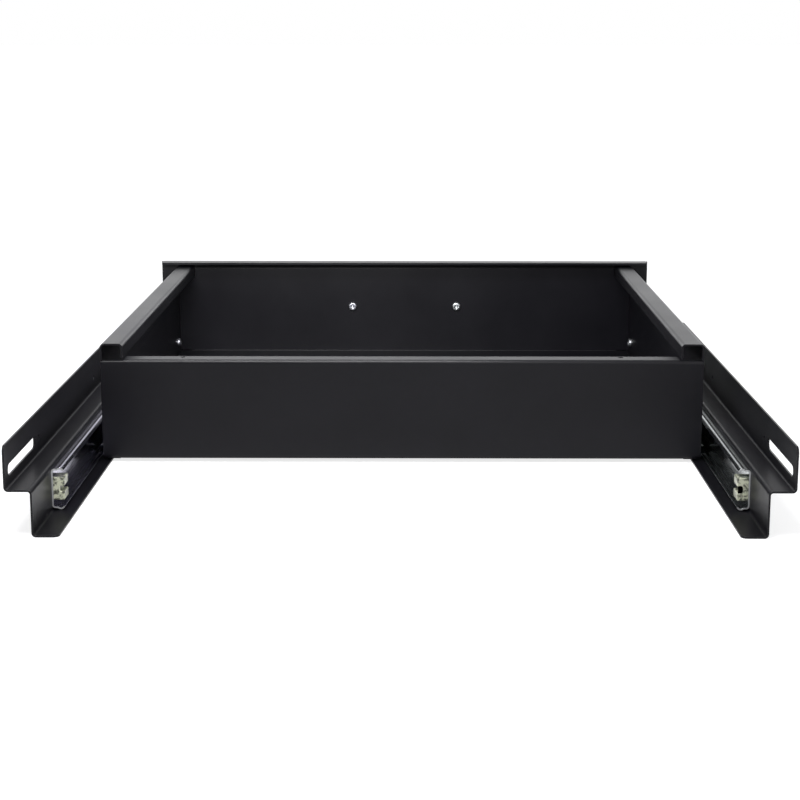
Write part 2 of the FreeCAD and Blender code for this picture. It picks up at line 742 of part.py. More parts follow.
def make_handle():
    """Round bar bent to a bow, with a collar and a tapped hole at each foot."""
    body = new_body("pull_handle", along="drawer_rear + panel_face", up="handle_height")
    bow = new_sketch(body, "XY_Plane")
    half, back, bend = value("handle_half"), value("handle_back"), value("handle_bend")
    turn = bend * QUARTER_MIDDLE
    left = bow.addGeometry(Part.LineSegment(Vector(-half, 0, 0), Vector(-half, bend - back, 0)))
    left_bend = bow.addGeometry(Part.Arc(
        Vector(-half, bend - back, 0), Vector(turn - half, turn - back, 0),
        Vector(bend - half, -back, 0)))
    grip = bow.addGeometry(Part.LineSegment(
        Vector(bend - half, -back, 0), Vector(half - bend, -back, 0)))
    right_bend = bow.addGeometry(Part.Arc(
        Vector(half - bend, -back, 0), Vector(half - turn, turn - back, 0),
        Vector(half, bend - back, 0)))
    right = bow.addGeometry(Part.LineSegment(Vector(half, bend - back, 0), Vector(half, 0, 0)))
    chain = (left, left_bend, grip, right_bend, right)
    for one, other in zip(chain, chain[1:]):
        join(bow, one, other)
    pin(bow, left, 1, ("-handle_half", "0"))
    pin(bow, left, 2, ("-handle_half", "handle_bend - handle_back"))
    pin(bow, grip, 1, ("handle_bend - handle_half", "-handle_back"))
    pin(bow, grip, 2, ("handle_half - handle_bend", "-handle_back"))
    pin(bow, right, 1, ("handle_half", "handle_bend - handle_back"))
    pin(bow, right, 2, ("handle_half", "0"))
    for arc in (left_bend, right_bend):
        fix(bow, "Radius", arc, size="handle_bend")

    bar = new_sketch(body, "XZ_Plane")
    draw_circle(bar, ("-handle_half", "0"), "handle_bar / 2")
    pipe = body.newObject("PartDesign::AdditivePipe", "Bow")
    pipe.Profile = bar
    pipe.Spine = (bow, [])
    doc.recompute()

    collars = new_sketch(body, "XZ_Plane")
    for sign in (-1, 1):
        draw_circle(collars, (times(sign, "handle_half"), "0"), "collar_wide / 2")
    pad(body, collars, "collar_high")

    taps = new_sketch(body, "XZ_Plane")
    for sign in (-1, 1):
        draw_circle(taps, (times(sign, "handle_half"), "0"), "hole_radius")
    cut(body, taps, "handle_screw_long", symmetric=False, reverse=True)


# Fasteners.  A screw's own zero is the seat under its head.

def draw_screw(body, along_x, sign, head_wide, head_high, head_round, length):
    """Revolve a screw about X or Y; sign is the way that its shank points."""
    spots = [
        ("-(%s)" % head_high, "0"),
        ("-(%s)" % head_high, "(%s) / 2" % head_wide),
        ("0", "(%s) / 2" % head_wide),
        ("0", "screw_radius"),
        (length, "screw_radius"),
        (length, "0"),
    ]
    spots = [(times(sign, reach), radius) for reach, radius in spots]
    if not along_x:
        spots = [(radius, reach) for reach, radius in spots]
    sketch = new_sketch(body, "XY_Plane")
    draw_rounded(sketch, spots, {1: head_round})
    turned = body.newObject("PartDesign::Revolution", "Revolution")
    turned.Profile = sketch
    turned.ReferenceAxis = (sketch, ["H_Axis" if along_x else "V_Axis"])
    turned.Angle = 360
    doc.recompute()


def make_channel_screws(name, sign):
    """Low heads inside the channel, so that the cage passes over them."""
    body = new_body("channel_screws_" + name, across=times(sign, "web_inner - slide_sheet"),
                    along="slide_inset + channel_screw_inset", up="slide_axis")
    draw_screw(body, True, sign, "low_wide", "low_high", "head_round", "channel_screw_long")
    repeat(body, "Y_Axis", "channel_screw_step * (screws_in_row - 1)", "screws_in_row",
           reverse=True)


def make_channel_nuts(name, sign):
    """Nuts on the outside of the web."""
    body = new_body("channel_nuts_" + name, across=times(sign, "web_outer"),
                    along="slide_inset + channel_screw_inset", up="slide_axis")
    sketch = new_sketch(body, "YZ_Plane")
    draw_outline(sketch, [
        ("half_flats", "-quarter_points"),
        ("half_flats", "quarter_points"),
        ("0", "half_points"),
        ("-half_flats", "quarter_points"),
        ("-half_flats", "-quarter_points"),
        ("0", "-half_points"),
    ])
    draw_circle(sketch, ("0", "0"), "hole_radius")
    pad(body, sketch, "nut_high", reverse=sign < 0)
    repeat(body, "Y_Axis", "channel_screw_step * (screws_in_row - 1)", "screws_in_row",
           reverse=True)


def make_runner_screws(name, sign):
    """Pan heads inside the box, their shanks through the side wall into the runner."""
    body = new_body("runner_screws_" + name, across=times(sign, "box_inner"),
                    along="runner_rear + runner_screw_inset", up="slide_axis")
    draw_screw(body, True, sign, "pan_wide", "pan_high", "pan_round", "runner_screw_long")
    repeat(body, "Y_Axis", "runner_screw_step * (screws_in_row - 1)", "screws_in_row",
           reverse=True)


def make_handle_screws():
    """Pan heads inside the box, their shanks through front wall and panel into the handle."""
    body = new_body("handle_screws", across="-handle_half",
                    along="drawer_rear + box_deep - sheet_thick", up="handle_height")
    draw_screw(body, False, -1, "pan_wide", "pan_high", "pan_round", "handle_screw_long")
    repeat(body, "X_Axis", "handle_span", "2")


for name, sign in SIDES:
    make_bracket(name, sign)
    make_channel(name, sign)
    make_stop(name, sign)
    make_channel_screws(name, sign)
    make_channel_nuts(name, sign)
    make_cage(name, sign)
    make_balls(name, sign)
    make_runner(name, sign)
    make_side_wall(name, sign)
    make_runner_screws(name, sign)
make_floor()
make_rear_wall()
make_front_wall()
make_panel()
make_handle()
make_handle_screws()

doc.recompute()
for item in doc.Objects:
    if "Invalid" in item.State or "Error" in item.State:
        raise RuntimeError("%s (%s) did not recompute" % (item.Name, item.Label))
for item in subparts:
    if item.Shape.isNull() or not item.Shape.isValid():
        raise RuntimeError("%s has no valid shape" % item.Label)

os.makedirs("parts", exist_ok=True)
for item in subparts:
    item.Shape.exportStep("parts/%s.step" % item.Label)
    print("%-24s solids %2d  volume %10.1f" % (
        item.Label, len(item.Shape.Solids), item.Shape.Volume))
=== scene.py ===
"""Looks of a sliding rack drawer: a powder coated box on ball slides between two rack brackets.

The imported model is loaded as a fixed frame.  Its sheet metal and slides keep their own meshes and
get their finishes here.  Screws, nuts, balls, end stops and handle are made as finer surfaces.
"""

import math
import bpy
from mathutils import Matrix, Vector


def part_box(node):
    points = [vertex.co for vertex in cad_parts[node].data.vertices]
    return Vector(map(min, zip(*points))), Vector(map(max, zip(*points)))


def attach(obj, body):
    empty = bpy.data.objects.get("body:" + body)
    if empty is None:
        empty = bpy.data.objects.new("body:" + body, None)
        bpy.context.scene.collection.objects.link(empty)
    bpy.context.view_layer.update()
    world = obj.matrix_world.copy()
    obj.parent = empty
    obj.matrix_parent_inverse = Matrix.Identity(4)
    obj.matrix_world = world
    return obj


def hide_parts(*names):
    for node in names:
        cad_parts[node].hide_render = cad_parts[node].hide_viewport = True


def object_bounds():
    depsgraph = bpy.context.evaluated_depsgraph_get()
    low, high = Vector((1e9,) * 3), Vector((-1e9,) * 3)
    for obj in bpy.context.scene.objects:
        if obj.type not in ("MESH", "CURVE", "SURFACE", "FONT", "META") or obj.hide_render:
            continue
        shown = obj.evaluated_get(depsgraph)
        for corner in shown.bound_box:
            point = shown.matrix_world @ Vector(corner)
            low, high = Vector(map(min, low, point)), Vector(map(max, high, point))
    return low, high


bl_info = {
    "name": "Sliding rack drawer",
    "version": (1, 0, 0),
    "blender": (4, 5, 0),
    "location": "3D View > Sidebar > Rack drawer",
    "description": "Finishes, fasteners, handle and studio for a sliding rack drawer",
    "category": "Object",
}

import bmesh
import bpy
import numpy as np
from bpy.props import FloatProperty, FloatVectorProperty, IntProperty, PointerProperty
from mathutils import Vector

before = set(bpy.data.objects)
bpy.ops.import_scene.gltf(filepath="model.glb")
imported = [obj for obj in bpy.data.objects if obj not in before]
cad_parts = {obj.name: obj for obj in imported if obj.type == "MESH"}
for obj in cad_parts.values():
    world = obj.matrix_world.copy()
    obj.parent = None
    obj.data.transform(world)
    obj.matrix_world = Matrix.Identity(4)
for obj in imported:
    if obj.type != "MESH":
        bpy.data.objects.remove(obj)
CAD_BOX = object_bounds()

X, Y, Z = 0, 1, 2
SIDES = {"left": -1, "right": 1}    # and the sign of X there
FULL_TURN = 2 * math.pi

# Rows and steps of the grids
FLAT_ROWS, RIM_ROWS = 26, 10        # over the flat and the rim of a screw head
THREAD_ROWS = 8                     # in one pitch
NUT_ROWS = (0.0, 0.06, 0.13, 0.2, 0.3, 0.5, 1.0)    # from a face to mid-height, as shares
BALL_ROWS, BALL_STEPS = 15, 24
BEND_ROWS, COLLAR_RIM_ROWS = 22, 7
STOP_RIM_ROWS, CORNER_STEPS = 6, 7

# Fine details, with lengths in metres
RECESS_SHARE, RECESS_DEEPEST = 0.72, 0.0017     # a recess's depth: share of its head, and limit
TIP_SHARE, TIP_IN = 0.6, 1.2        # a thread's tapered tip: share of the pitch, of its depth
MOUTH_SHARE, MOUTH_DEEP = 1.16, 0.00035     # a nut's countersunk mouth: share of the bore
COLLAR_RIM_SHARE, COLLAR_PLAY = 0.35, 0.0002    # a collar's rim: share of its height
BALL_GAP, FASTENER_GAP = 0.001, 0.002       # wider than any gap within one solid
FLOOR_DROP, FLOOR_REACH = 0.0002, 30.0      # the floor below the feet, and its half width

# Tones inside the shared finishes
POWDER_CLOUD = (0.0085, 0.0082, 0.0112, 1)
# Lighter tone painted along the coat's edges: a painted highlight
POWDER_EDGE_HIGHLIGHT = (0.040, 0.040, 0.043, 1)
ZINC_DULL = (0.36, 0.37, 0.38, 1)
ZINC_SHEARED = (0.52, 0.53, 0.54, 1)
PLASTIC_FLOW = (0.075, 0.080, 0.062, 1)
ROOM_WHITE = (0.985, 0.99, 1.0, 1)
WHITE = (1, 1, 1, 1)

# Where the drawn lines of rolled steel run: along Y, or nowhere
ALONG_SLIDE = (1.0, 0.02, 1.0)
ALONG_CAGE = (1.0, 0.05, 1.0)
NO_LINES = (1.0, 1.0, 1.0)

# Directions between which the room goes from dim to bright, and from its walls to its ceiling
ROOM_ALONG = (0.35, -0.70)
ROOM_UP = (0.13, 0.30)

# Lamps: name, place, size, and the spot that it faces, in metres
LAMPS = (
    ("over_lamp", (0.16, 0.60, 1.0), (0.5, 0.3), (0.12, 0.2, 0.03)),
    ("inner_lamp", (0.09, 0.12, 0.20), (0.30, 0.05), (0.06, -0.25, 0.06)),
    ("front_lamp", (-0.75, 2.1, 0.70), (1.6, 0.8), (0.0, -0.1, 0.05)),
)


# Sizes and colours

class RackDrawerSizes(bpy.types.PropertyGroup):
    """Sizes of the pieces that are finer than their solids."""

    around: IntProperty(
        name="Steps around", default=72, min=24, max=144,
        description="Steps around a screw, nut, collar or bar; a multiple of six")
    pan_high: FloatProperty(
        name="Pan head", default=0.0024, min=0.0005, unit="LENGTH", precision=4,
        description="Height of the screw heads inside the drawer")
    pan_round: FloatProperty(
        name="Pan head rim", default=0.0016, min=0.0001, unit="LENGTH", precision=4,
        description="Radius of the rounded rim of those heads")
    low_high: FloatProperty(
        name="Low head", default=0.0008, min=0.0003, unit="LENGTH", precision=4,
        description="Height of the screw heads inside the slides")
    low_round: FloatProperty(
        name="Low head rim", default=0.0006, min=0.0001, unit="LENGTH", precision=4,
        description="Radius of the rounded rim of those heads")
    shank: FloatProperty(
        name="Thread", default=0.004, min=0.001, unit="LENGTH", precision=4,
        description="Outside diameter of the threads")
    pitch: FloatProperty(
        name="Pitch", default=0.0007, min=0.0003, unit="LENGTH", precision=4,
        description="Thread to thread along a screw")
    thread_deep: FloatProperty(
        name="Thread depth", default=0.00034, min=0.0, unit="LENGTH", precision=5,
        description="Crest to root of a thread")
    recess_reach: FloatProperty(
        name="Cross recess", default=0.0022, min=0.0005, unit="LENGTH", precision=4,
        description="Middle of a head to the end of an arm of its cross recess")
    recess_wide: FloatProperty(
        name="Recess arm", default=0.00125, min=0.0002, unit="LENGTH", precision=5,
        description="Width of an arm of the cross recess")
    nut_bore: FloatProperty(
        name="Nut bore", default=0.0043, min=0.001, unit="LENGTH", precision=4,
        description="Diameter of the hole through a nut")
    notch: FloatProperty(
        name="Stop notch", default=0.0036, min=0.001, unit="LENGTH", precision=4,
        description="Width of the notch across an end stop")
    notch_deep: FloatProperty(
        name="Notch depth", default=0.003, min=0.0005, unit="LENGTH", precision=4,
        description="Depth of that notch")
    stop_round: FloatProperty(
        name="Stop corners", default=0.001, min=0.0002, unit="LENGTH", precision=4,
        description="Radius of the outer corners of an end stop")
    stop_rim: FloatProperty(
        name="Stop rim", default=0.0003, min=0.0001, unit="LENGTH", precision=4,
        description="Radius of the rounded rims at the two ends of an end stop")
    bar: FloatProperty(
        name="Handle bar", default=0.009, min=0.003, unit="LENGTH", precision=4,
        description="Diameter of the handle's bar")
    bar_bend: FloatProperty(
        name="Handle bend", default=0.012, min=0.006, unit="LENGTH", precision=4,
        description="Radius of the handle's corners, at the middle of the bar")
    collar: FloatProperty(
        name="Handle collar", default=0.014, min=0.005, unit="LENGTH", precision=4,
        description="Diameter of the collars at the feet of the handle")
    collar_high: FloatProperty(
        name="Collar height", default=0.0025, min=0.0005, unit="LENGTH", precision=4,
        description="Height of those collars")


class RackDrawerColours(bpy.types.PropertyGroup):
    """Colours of the finishes."""

    powder: FloatVectorProperty(
        name="Powder coat", subtype="COLOR", size=3, min=0, max=1,
        default=(0.0036, 0.0034, 0.0054), description="Coat of the brackets, box and panel")
    handle: FloatVectorProperty(
        name="Handle coat", subtype="COLOR", size=3, min=0, max=1,
        default=(0.0060, 0.0060, 0.0065), description="Smoother coat of the handle")
    zinc: FloatVectorProperty(
        name="Zinc", subtype="COLOR", size=3, min=0, max=1,
        default=(0.60, 0.61, 0.63), description="Plating of the slides and fasteners")
    zinc_cool: FloatVectorProperty(
        name="Cool passivation", subtype="COLOR", size=3, min=0, max=1,
        default=(0.60, 0.58, 0.76), description="Lavender areas of the slides' plating")
    zinc_warm: FloatVectorProperty(
        name="Warm passivation", subtype="COLOR", size=3, min=0, max=1,
        default=(0.59, 0.64, 0.63), description="Greenish areas of the slides' plating")
    cage: FloatVectorProperty(
        name="Cage steel", subtype="COLOR", size=3, min=0, max=1,
        default=(0.36, 0.35, 0.34), description="Bare oiled steel of the ball cages")
    ball: FloatVectorProperty(
        name="Ball steel", subtype="COLOR", size=3, min=0, max=1,
        default=(0.74, 0.74, 0.75), description="Polished steel of the balls")
    plastic: FloatVectorProperty(
        name="End stop", subtype="COLOR", size=3, min=0, max=1,
        default=(0.65, 0.67, 0.52), description="Pale plastic of the end stops")
    floor: FloatVectorProperty(
        name="Floor", subtype="COLOR", size=3, min=0, max=1,
        default=(0.50, 0.50, 0.51), description="Plain floor under the drawer")


class RackDrawerStudio(bpy.types.PropertyGroup):
    """Camera and light."""

    lens: FloatProperty(
        name="Lens", default=80.0, min=10.0, unit="CAMERA", description="Focal length")
    camera_place: FloatVectorProperty(
        name="Camera", subtype="TRANSLATION", unit="LENGTH", size=3,
        default=(-0.0073, 1.3453, 0.2983), description="Where the camera stands")
    camera_down: FloatProperty(
        name="Down", subtype="ANGLE", default=0.206, description="How far the camera looks down")
    camera_aside: FloatProperty(
        name="Aside", subtype="ANGLE", default=0.007,
        description="How far the camera is turned from straight along the drawer")
    behind: FloatProperty(
        name="Light behind", default=2.0, min=0.0,
        description="Brightness of the room behind the panel")
    before: FloatProperty(
        name="Light before", default=0.22, min=0.0,
        description="Brightness of the room at the rear of the brackets")
    above: FloatProperty(
        name="Light above", default=0.50, min=0.0, description="Brightness of the ceiling")
    backdrop: FloatProperty(
        name="Backdrop", default=1.0, min=0.0, description="Brightness of the bare background")
    floor_glow: FloatProperty(
        name="Floor glow", default=0.40, min=0.0,
        description="Light that the floor gives of itself")
    seen_glow: FloatProperty(
        name="Seen glow", default=0.36, min=0.0,
        description="Further light that it gives to the camera alone, so that it stays white")
    over_lamp: FloatProperty(
        name="Lamp over", default=9.5, min=0.0, unit="POWER",
        description="Power of the lamp high beyond the rear ends of the brackets")
    inner_lamp: FloatProperty(
        name="Lamp inside", default=1.5, min=0.0, unit="POWER",
        description="Power of the low lamp that shines into the box, on the back of the panel")
    front_lamp: FloatProperty(
        name="Lamp before", default=5.2, min=0.0, unit="POWER",
        description="Power of the wide lamp that stands off to the left, beyond the rear ends")


# Surfaces.  Each is a grid of points, worked out as whole arrays.

def corners_of(node):
    """Low and high corner of a node, as arrays."""
    return [np.array(corner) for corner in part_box(node)]


def solids(node, axes, gap):
    """Low and high corners of the separate solids of a node.

    The node's points are sorted along an axis and parted wherever two neighbours lie further
    apart than the gap, and each part is parted again along the next axis.
    """
    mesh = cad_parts[node].data
    points = np.empty(len(mesh.vertices) * 3)
    mesh.vertices.foreach_get("co", points)
    parts = [points.reshape(-1, 3)]
    for axis in axes:
        finer = []
        for part in parts:
            part = part[np.argsort(part[:, axis])]
            finer += np.split(part, np.flatnonzero(np.diff(part[:, axis]) > gap) + 1)
        parts = finer
    return [(part.min(axis=0), part.max(axis=0)) for part in parts]


def grid_faces(rows, columns, wrap_rows):
    """Quads of a grid that closes around its columns, and around its rows if asked.

    Point number = row x columns + column; each quad takes a point, the next in its row, and the
    same two of the next row.
    """
    row = np.arange(rows if wrap_rows else rows - 1)[:, None]
    column = np.arange(columns)[None, :]
    after = (column + 1) % columns
    below = (row + 1) % rows
    quads = np.stack([
        row * columns + column, row * columns + after,
        below * columns + after, below * columns + column,
    ], axis=-1)
    return quads.reshape(-1, 4)


def make_piece(name, body, material, grids, wrap_rows=False, capped=False,
               crease=math.radians(32)):
    """One object from several closed grids of points; poles and seams are merged.

    A capped grid gets one flat face over its first row and one over its last.
    """
    points, corners, sides, count = [], [], [], 0
    for grid in grids:
        rows, columns = grid.shape[:2]
        quads = grid_faces(rows, columns, wrap_rows) + count
        corners.append(quads.ravel())
        sides.append(np.full(len(quads), 4))
        if capped:
            ring = np.arange(columns) + count
            corners += [ring[::-1], ring + (rows - 1) * columns]
            sides.append(np.full(2, columns))
        points.append(grid.reshape(-1, 3))
        count += rows * columns
    points = np.concatenate(points)
    corners = np.concatenate(corners)
    sides = np.concatenate(sides)
    mesh = bpy.data.meshes.new(name)
    mesh.vertices.add(len(points))
    mesh.vertices.foreach_set("co", points.ravel())
    mesh.loops.add(len(corners))
    mesh.loops.foreach_set("vertex_index", corners)
    mesh.polygons.add(len(sides))
    mesh.polygons.foreach_set("loop_start", np.cumsum(sides) - sides)
    mesh.update(calc_edges=True)
    merged = bmesh.new()
    merged.from_mesh(mesh)
    bmesh.ops.remove_doubles(merged, verts=merged.verts, dist=1e-7)
    bmesh.ops.recalc_face_normals(merged, faces=merged.faces)
    merged.to_mesh(mesh)
    merged.free()
    mesh.polygons.foreach_set("use_smooth", np.ones(len(mesh.polygons), dtype=bool))
    mesh.set_sharp_from_angle(angle=crease)
    mesh.materials.append(material)
    piece = bpy.data.objects.new(name, mesh)
    bpy.context.scene.collection.objects.link(piece)
    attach(piece, body)
    return piece


def full_turn(steps):
    """Evenly spaced angles of one turn, as a row."""
    return np.linspace(0, FULL_TURN, steps, endpoint=False)[None, :]


def turn_about(reach, radius, turns, axis, sign, origin):
    """Points at reach along the signed axis and radius x (cos turn, sin turn) across it."""
    first, second = [a for a in (X, Y, Z) if a != axis]
    points = np.empty(np.broadcast(reach, radius, turns).shape + (3,))
    points[..., axis] = origin[axis] + sign * reach
    points[..., first] = origin[first] + radius * np.cos(turns)
    points[..., second] = origin[second] + radius * np.sin(turns)
    return points


def smooth_step(share):
    """3 s^2 - 2 s^3, with s held between 0 and 1."""
    share = np.clip(share, 0, 1)
    return share * share * (3 - 2 * share)


def screw_grid(low, high, axis, sign, head_high, head_round, sizes):
    """A screw with a cross recess and a thread, its shank pointing along the signed axis.

    Head: reach = -(flat top, then a quarter circle at the rim), less the recess, which is
    depth x (1.05 - 0.6 x distance along the arm / its reach) inside the arms and fades out at
    their sides and ends.  Shank: radius = crest less a triangle wave of (reach / pitch - angle /
    full turn), with a tapered tip.
    """
    turns = full_turn(sizes.around)
    level = 0 * turns
    origin = (low + high) / 2
    head = (high - low)[Z] / 2
    origin[axis] = (low if sign > 0 else high)[axis] + sign * head_high
    length = (high - low)[axis] - head_high
    flat = head - head_round

    radius = np.concatenate([
        np.linspace(0, min(flat, sizes.recess_reach * 1.15), FLAT_ROWS),
        flat + head_round * np.sin(np.linspace(0.05, math.pi / 2, RIM_ROWS)),
    ])[:, None]
    beyond = np.clip(radius - flat, 0, head_round)
    top = head_high - head_round + np.sqrt(head_round ** 2 - beyond ** 2)
    across, up = abs(radius * np.cos(turns)), abs(radius * np.sin(turns))
    along, beside = np.maximum(across, up), np.minimum(across, up)
    arm = sizes.recess_wide / 2
    side_fade, end_fade = arm * 0.45, arm * 0.7
    inside = (smooth_step((arm * 1.15 - beside) / side_fade)
              * smooth_step((sizes.recess_reach - along) / end_fade))
    deep = min(head_high * RECESS_SHARE, RECESS_DEEPEST)
    recess = deep * inside * (1.05 - 0.6 * along / sizes.recess_reach)

    rows = max(12, int(length / sizes.pitch * THREAD_ROWS))
    reach = np.linspace(0, length, rows)[:, None] + level
    wave = abs(((reach / sizes.pitch - turns / FULL_TURN) % 1) * 2 - 1)
    fade = smooth_step(reach / sizes.pitch) * smooth_step((length - reach) / sizes.pitch)
    taper = 1 - np.clip((length - reach) / (TIP_SHARE * sizes.pitch), 0, 1)
    thread = sizes.shank / 2 - sizes.thread_deep * (wave * fade + TIP_IN * taper)

    reach = np.concatenate([recess - top, level, reach, length + level])
    radius = np.concatenate([radius + level, head + level, thread, level])
    return turn_about(reach, radius, turns, axis, sign, origin)


def nut_grid(low, high, axis, sizes):
    """A hexagon nut.

    Outside: radius = half the flats / cos(angle from the middle of a flat), but no more than
    0.97 of half the flats + sqrt 3 x the distance from the nearer face, the 30 degree chamfer.
    """
    turns = full_turn(sizes.around)
    level = 0 * turns
    half = (high - low)[axis] / 2
    flats = (high - low)[Y] / 2
    from_flat = (turns + math.pi / 6) % (math.pi / 3) - math.pi / 6
    depth = np.array(NUT_ROWS)[:, None] * half
    side = np.minimum(flats / np.cos(from_flat), flats * 0.97 + math.sqrt(3) * depth)
    bore = sizes.nut_bore / 2 + level
    mouth = bore * MOUTH_SHARE
    inner = half - MOUTH_DEEP + level
    reach = np.concatenate([inner, half + level, half - depth + level,
                            depth[-2::-1] - half + level, level - half, -inner])
    radius = np.concatenate([bore, mouth, side, side[-2::-1], mouth, bore])
    return turn_about(reach, radius, turns, axis, 1, (low + high) / 2)


def ball_grid(low, high):
    """A sphere: reach = -radius x cos(lift), ring = radius x sin(lift), lift from 0 to pi."""
    radius = (high - low)[Z] / 2
    lift = np.linspace(0, math.pi, BALL_ROWS)[:, None]
    return turn_about(-radius * np.cos(lift), radius * np.sin(lift), full_turn(BALL_STEPS),
                      X, 1, (low + high) / 2)


def bow_path(low, high, bar, bend, steps):
    """Middle line of the handle: straight legs and front, joined by quarter circles.

    A corner is centre + bend x (cos angle, sin angle) over a quarter turn.
    """
    front = low[Y] + bar / 2
    left = low[X]
    right = high[X]
    angle = np.linspace(0, math.pi / 2, steps)
    first = np.stack([left + bend - bend * np.cos(angle),
                      front + bend - bend * np.sin(angle)], axis=-1)
    last = np.stack([right - bend + bend * np.sin(angle),
                     front + bend - bend * np.cos(angle)], axis=-1)
    legs = np.array([[left, high[Y]]]), np.array([[right, high[Y]]])
    return np.concatenate([legs[0], first, last, legs[1]])


def bow_grid(low, high, level, bar, bend, around):
    """The bar's circle carried along the middle line, square to it at every point."""
    path = bow_path(low, high, bar, bend, BEND_ROWS)
    heading = np.gradient(path, axis=0)
    heading[0] = path[1] - path[0]
    heading[-1] = path[-1] - path[-2]
    heading[1], heading[-2] = heading[0], heading[-1]
    heading /= np.linalg.norm(heading, axis=1)[:, None]
    turns = full_turn(around)
    ring = np.concatenate([[0.0], np.full(len(path), bar / 2), [0.0]])[:, None]
    path = np.concatenate([path[:1], path, path[-1:]])
    heading = np.concatenate([heading[:1], heading, heading[-1:]])
    points = np.empty((len(path), around, 3))
    points[..., X] = path[:, :1] - ring * np.cos(turns) * heading[:, 1:]
    points[..., Y] = path[:, 1:] + ring * np.cos(turns) * heading[:, :1]
    points[..., Z] = level + ring * np.sin(turns)
    return points


def collar_grid(foot, sizes):
    """A collar: a turned profile with a rounded rim and a hollowed top, closed at both ends.

    Rim: reach = 0.55 x height + 0.9 x rim x sin(angle), radius = outer - rim x (1 - cos(angle)).
    """
    outer, high, inner = sizes.collar / 2, sizes.collar_high, sizes.bar / 2
    rim = high * COLLAR_RIM_SHARE
    angle = np.linspace(0, math.pi / 2, COLLAR_RIM_ROWS)
    reach = np.concatenate([[0, 0], high * 0.55 + rim * np.sin(angle) * 0.9, [high, high]])
    radius = np.concatenate([[0, outer], outer - rim + rim * np.cos(angle),
                             [inner + COLLAR_PLAY, 0]])
    return turn_about(reach[:, None], radius[:, None], full_turn(sizes.around), Y, -1, foot)


def rounded_outline(corners, radii, steps):
    """A closed outline with each corner rounded, and the outward direction at every point.

    The arc's centre lies on the corner's bisector at radius / sin(half the corner's angle), and
    its points turn evenly from the direction square to one side to that square to the next.
    """
    corners = np.array(corners)
    radii = np.array(radii)[:, None]
    before = corners - np.roll(corners, 1, axis=0)
    before /= np.linalg.norm(before, axis=1)[:, None]
    after = np.roll(before, -1, axis=0)
    turn = before[:, 0] * after[:, 1] - before[:, 1] * after[:, 0]
    side = np.sign(turn)[:, None]
    bisector = after - before
    share = np.linalg.norm(bisector, axis=1)[:, None] / 2
    centre = corners + bisector / (2 * share) * radii / np.sqrt(1 - share ** 2)
    start = np.arctan2(-before[:, 0], before[:, 1])
    sweep = np.arcsin(np.clip(turn, -1, 1))
    angle = start[:, None] + sweep[:, None] * np.linspace(0, 1, steps)
    away = np.stack([np.cos(angle), np.sin(angle)], axis=-1)
    points = centre[:, None] + (side * radii)[:, None] * away
    return points.reshape(-1, 2), away.reshape(-1, 2)


def stop_grid(low, high, sign, sizes):
    """An end stop: its notched outline carried along the slide, with a rounded rim at both ends.

    Rim: in step k of a quarter circle the outline is drawn in by rim x (1 - sin) and lies
    rim x (1 - cos) from the end.
    """
    deep, tall = (high - low)[X], (high - low)[Z] / 2
    notch, floor = sizes.notch / 2, sizes.notch_deep - deep
    corners = [(0, -tall), (0, tall), (-deep, tall), (-deep, notch), (floor, notch),
               (floor, -notch), (-deep, -notch), (-deep, -tall)]
    outer, inner = sizes.stop_round, sizes.stop_round / 2
    radii = (inner, inner, outer, inner, inner, inner, inner, outer)
    outline, away = rounded_outline(corners, radii, CORNER_STEPS)
    rim = sizes.stop_rim
    angle = np.linspace(0, math.pi / 2, STOP_RIM_ROWS)
    drawn = np.concatenate([[2 * rim], rim * (1 - np.sin(angle))])
    depth = np.concatenate([[0.0], rim * (1 - np.cos(angle))])
    length = (high - low)[Y]
    drawn = np.concatenate([drawn, drawn[::-1]])[:, None]
    along = np.concatenate([depth, length - depth[::-1]])[:, None]
    back = (high if sign > 0 else low)[X]
    points = np.empty((len(drawn), len(outline), 3))
    points[..., X] = back + sign * (outline[:, 0] - drawn * away[:, 0])
    points[..., Y] = low[Y] + along
    points[..., Z] = (low[Z] + high[Z]) / 2 + outline[:, 1] - drawn * away[:, 1]
    return points


# Shader nodes

def add(tree, kind, **settings):
    """A new node with its settings."""
    made = tree.nodes.new(kind)
    for key, setting in settings.items():
        setattr(made, key, setting)
    return made


def plug(tree, item, socket):
    """Link the item to the socket if it is one itself, and otherwise make it the value there."""
    if isinstance(item, bpy.types.NodeSocket):
        tree.links.new(item, socket)
    else:
        socket.default_value = item


def feed(tree, node, **values):
    """Set or link the sockets of a node by their names."""
    for key, item in values.items():
        plug(tree, item, node.inputs[key.replace("_", " ")])


def maths(tree, operation, first, second=0.0, clamp=False):
    """The output of one Math node."""
    made = add(tree, "ShaderNodeMath", operation=operation, use_clamp=clamp)
    for socket, item in zip(made.inputs, (first, second)):
        plug(tree, item, socket)
    return made.outputs[0]


def mixed(tree, share, first, second):
    """The output of one colour mix."""
    made = add(tree, "ShaderNodeMix", data_type="RGBA")
    for number, item in ((0, share), (6, first), (7, second)):
        plug(tree, item, made.inputs[number])
    return made.outputs[2]


def ranged(tree, item, low, high, to_low=0.0, to_high=1.0):
    """The output of one smooth Map Range node."""
    made = add(tree, "ShaderNodeMapRange", interpolation_type="SMOOTHSTEP")
    feed(tree, made, Value=item, From_Min=low, From_Max=high, To_Min=to_low, To_Max=to_high)
    return made.outputs["Result"]


def varied(tree, item, pattern, much):
    """The item plus much x (pattern - 0.5)."""
    return maths(tree, "ADD", item,
                 maths(tree, "MULTIPLY", maths(tree, "SUBTRACT", pattern, 0.5), much))


def noise(tree, vector, scale, detail=2.0, rough=0.5):
    """The value of one noise; scale is features a metre, the rest how fine and harsh it is."""
    made = add(tree, "ShaderNodeTexNoise")
    feed(tree, made, Vector=vector, Scale=scale, Detail=detail, Roughness=rough)
    return made.outputs["Fac"]


